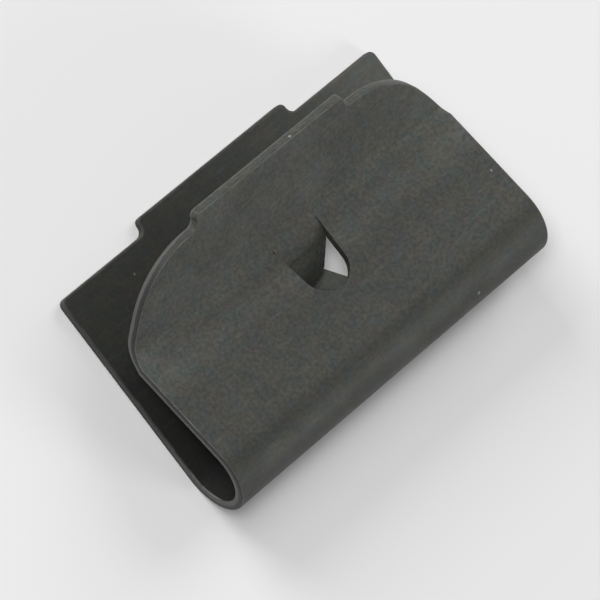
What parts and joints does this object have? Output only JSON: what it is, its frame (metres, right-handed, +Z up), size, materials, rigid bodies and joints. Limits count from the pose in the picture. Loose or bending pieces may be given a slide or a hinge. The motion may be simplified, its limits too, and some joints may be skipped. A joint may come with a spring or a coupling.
{
  "type": "hub cap clip",
  "caption": "Folded spring steel clip that slides over a panel edge and holds a hub cap, with a pinched mouth, flared lip and a lanced tooth that bites the panel.",
  "frame": {"origin": "middle of the clip's bounding box, on the underside of the lower leaf", "axes": "+X along the fold, +Y out of the mouth, away from the fold, +Z up, from the lower leaf to the upper leaf"},
  "size_m": [0.025, 0.0156, 0.0069],
  "materials": {
    "black_spring_steel": "matte black phosphate"
  },
  "bodies": {
    "root": {"spring_clip": "black_spring_steel"}
  },
  "joints": []
}
